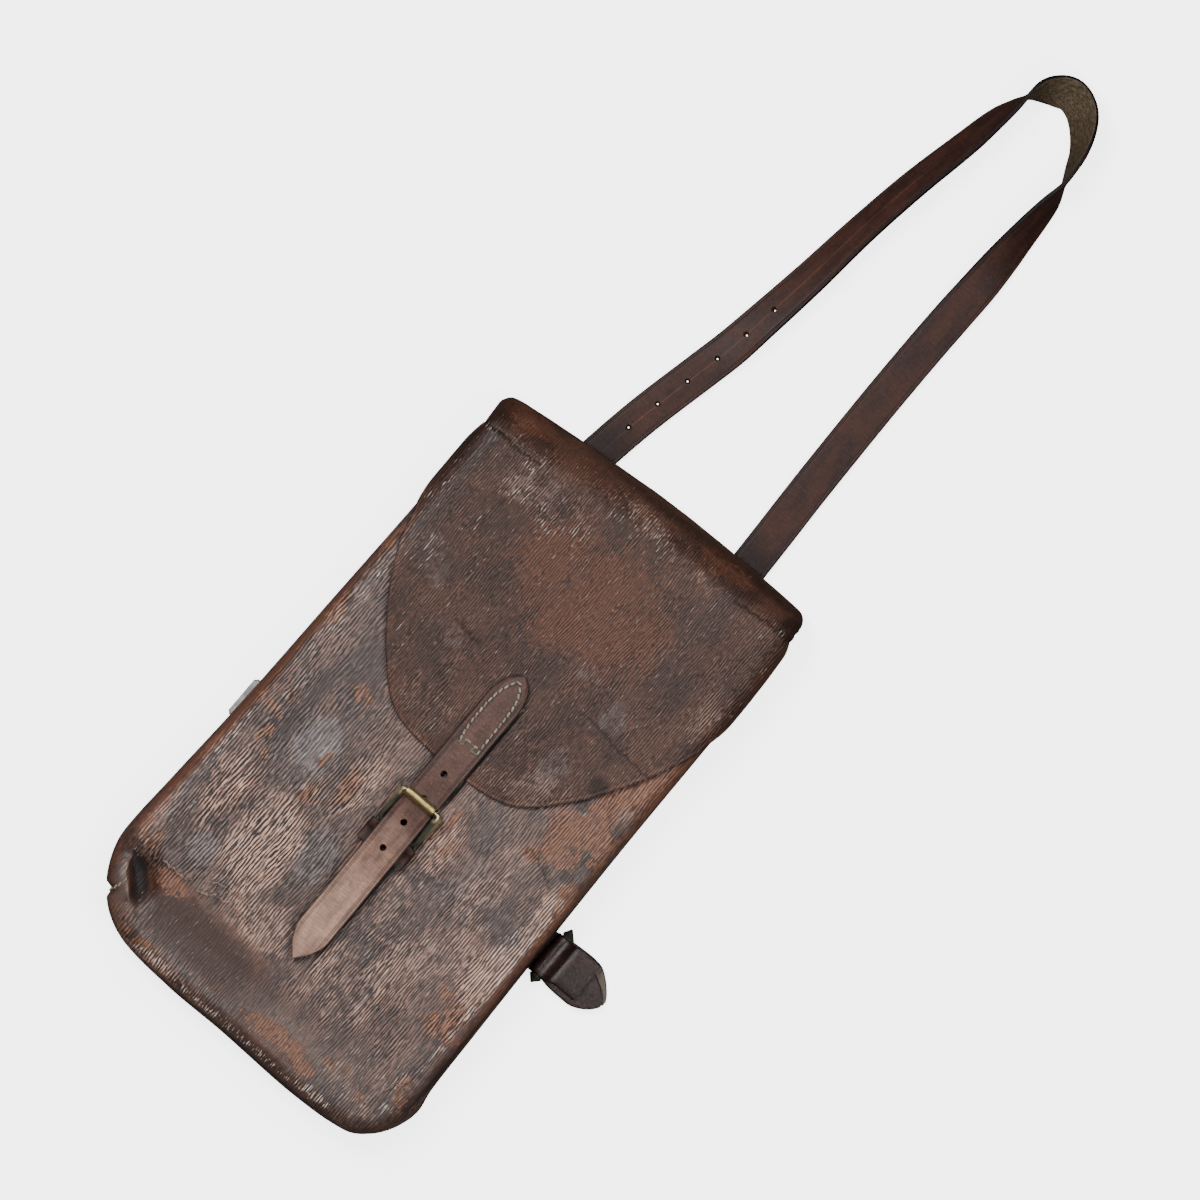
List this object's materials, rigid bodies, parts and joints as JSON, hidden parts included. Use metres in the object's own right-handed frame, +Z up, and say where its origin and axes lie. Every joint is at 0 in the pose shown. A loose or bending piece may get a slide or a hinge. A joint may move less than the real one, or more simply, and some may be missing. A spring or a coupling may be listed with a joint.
{
  "type": "leather dispatch case",
  "caption": "Flat moulded leather case with a curved front flap, a buckled closure strap, a long shoulder strap and a side tab.",
  "frame": {"origin": "on the under face of the strap across the back, in the middle of the case's width, where the case rests", "axes": "+Z up from the table, +Y along the case towards the flap's fold and the shoulder strap, +X to the right seen from above"},
  "size_m": [0.2774, 0.7429, 0.041],
  "materials": {
    "front_leather": "worn, wrinkled, half matt",
    "flap_leather": "worn, half gloss",
    "strap_leather": "worn, matt",
    "dark_leather": "dark, half gloss",
    "shoulder_leather": "dark red-brown, half gloss",
    "roller_brass": "polished by wear",
    "aged_brass": "dark with green tarnish",
    "plain_steel": "plain"
  },
  "bodies": {
    "root": {"front_shell": "front_leather", "back_and_flap": "flap_leather", "closure_strap": "strap_leather", "buckle_frame": "aged_brass", "buckle_roller": "roller_brass", "buckle_prong": "aged_brass", "buckle_chape": "dark_leather", "shoulder_strap": "shoulder_leather", "back_strap": "dark_leather", "side_tab": "dark_leather", "side_bar": "aged_brass", "back_buckle": "plain_steel", "back_buckle_chape": "dark_leather"}
  },
  "joints": []
}
